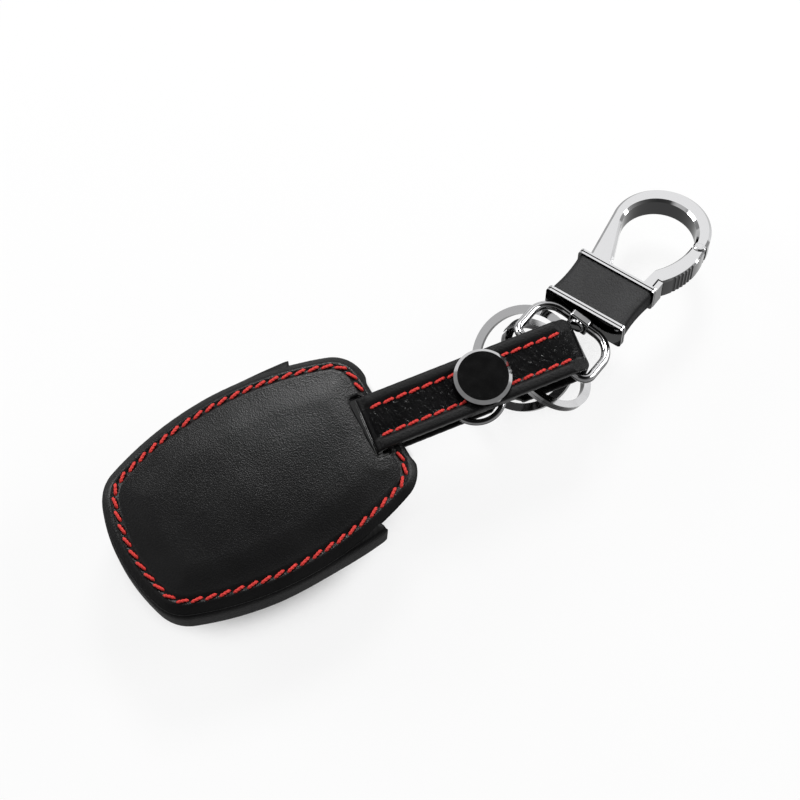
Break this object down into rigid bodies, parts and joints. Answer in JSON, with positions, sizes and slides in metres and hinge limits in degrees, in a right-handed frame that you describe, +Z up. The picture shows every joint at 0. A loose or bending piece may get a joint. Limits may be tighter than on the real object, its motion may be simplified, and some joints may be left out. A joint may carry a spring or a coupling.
{
  "type": "key fob cover",
  "caption": "Leather pouch for a car key with a stitched back panel, a snap strap through its slot, a swivel clasp with a sprung gate, and split key rings.",
  "frame": {"origin": "centre of the flat face of the moulded front that the pouch rests on", "axes": "+X from the closed end through the mouth towards the clasp, +Z up out of the stitched back panel, +Y to the left of the strap"},
  "size_m": [0.1516, 0.0452, 0.0211],
  "materials": {
    "leather": "fine matt grain",
    "lining": "matt",
    "thread": "twisted thread",
    "chrome": "polished",
    "sleeve": "matt",
    "spring_steel": "bright wire"
  },
  "bodies": {
    "pouch": {"front_shell": "leather", "back_panel": "leather", "panel_lining": "lining", "panel_stitches": "thread"},
    "strap": {"strap_band": "leather", "strap_stitches": "thread", "snap_cap": "chrome", "snap_socket": "chrome"},
    "tab": {"strap_tab": "leather", "snap_stud": "chrome", "snap_eyelet": "chrome"},
    "small_ring": {"small_ring": "chrome"},
    "shackle": {"shackle": "chrome"},
    "clasp": {"hook_body": "chrome", "waist_leather": "sleeve", "swivel_post": "chrome", "gate_pin": "chrome", "gate_spring": "spring_steel"},
    "gate": {"gate": "chrome"},
    "key_ring_right": {"key_ring_right": "chrome"},
    "key_ring_left": {"key_ring_left": "chrome"}
  },
  "joints": [
    {"name": "strap_swing", "type": "hinge", "parent": "pouch", "child": "strap", "pos_m": [0.0297, -0.00114, 0.0158], "axis": [0.1253, 0.9921, 0], "range_deg": [-6, 6]},
    {"name": "tab_flap", "type": "hinge", "parent": "strap", "child": "tab", "pos_m": [0.02677, -0.00077, 0.01505], "axis": [0.1253, 0.9921, 0], "range_deg": [0, 20]},
    {"name": "small_ring_orbit", "type": "hinge", "parent": "strap", "child": "small_ring", "pos_m": [0.05257, -0.00403, 0.0152], "axis": [0, 0, 1], "range_deg": [-80, 0]},
    {"name": "shackle_pivot", "type": "hinge", "parent": "strap", "child": "shackle", "pos_m": [0.06864, -0.00606, 0.01585], "axis": [0.3778, -0.9259, 0], "range_deg": [-2, 25]},
    {"name": "clasp_swivel", "type": "hinge", "parent": "shackle", "child": "clasp", "pos_m": [0.08021, -0.00134, 0.01308], "axis": [0.9039, 0.3689, -0.2164], "continuous": true},
    {"name": "gate_hinge", "type": "hinge", "parent": "clasp", "child": "gate", "pos_m": [0.11215, 0.00014, 0.00853], "axis": [-0.1246, -0.2569, -0.9584], "range_deg": [0, 25], "stiffness_Nm_per_rad": 0.01, "springref_deg": -17.19},
    {"name": "right_ring_turn", "type": "hinge", "parent": "strap", "child": "key_ring_right", "pos_m": [0.06881, -0.00531, 0.00852], "axis": [0.64, -0.0101, 0.7683], "continuous": true},
    {"name": "left_ring_turn", "type": "hinge", "parent": "strap", "child": "key_ring_left", "pos_m": [0.06605, -0.00118, 0.00593], "axis": [-0.4035, -0.0056, 0.915], "continuous": true}
  ]
}
